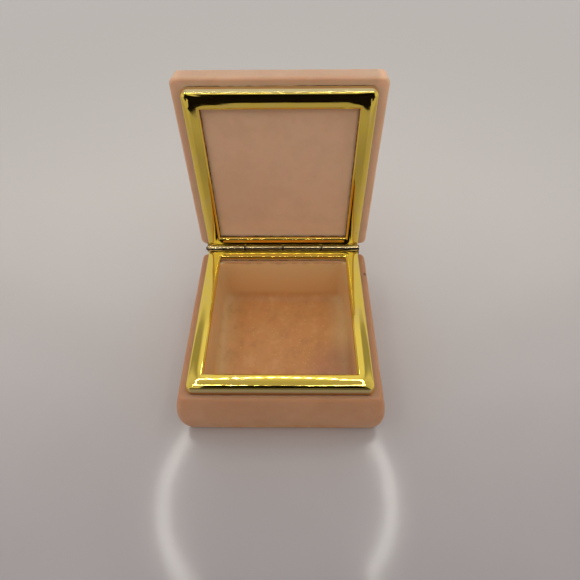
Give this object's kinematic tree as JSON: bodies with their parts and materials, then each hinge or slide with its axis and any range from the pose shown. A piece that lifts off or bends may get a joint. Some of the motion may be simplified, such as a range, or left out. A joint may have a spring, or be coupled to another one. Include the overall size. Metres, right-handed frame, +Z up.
{
  "type": "hinged stone trinket box",
  "caption": "Square box carved from translucent pink stone, with a polished brass rim frame on the base and on the lid and a barrel hinge along the back, shown open.",
  "frame": {"origin": "on the flat underside of the base, below the centre of the rim frames", "axes": "+Z up out of the base, +Y towards the hinge at the back, +X to the right seen from the front"},
  "size_m": [0.0856, 0.102, 0.1099],
  "materials": {
    "stone": "polished, translucent, faint clouding",
    "rim_brass": "mirror polished",
    "hinge_brass": "polished",
    "pin_steel": "dull, tarnished",
    "cement": "dark amber resin cement"
  },
  "bodies": {
    "base": {"base_stone": "stone", "base_frame": "rim_brass", "base_cement": "cement", "base_hinge_leaf": "hinge_brass", "hinge_pin": "pin_steel"},
    "lid": {"lid_stone": "stone", "lid_frame": "rim_brass", "lid_cement": "cement", "lid_hinge_leaf": "hinge_brass"}
  },
  "joints": [
    {"name": "lid_hinge", "type": "hinge", "parent": "base", "child": "lid", "pos_m": [0, 0.037, 0.0326], "axis": [-1, 0, 0], "range_deg": [-95.2, 1]}
  ]
}
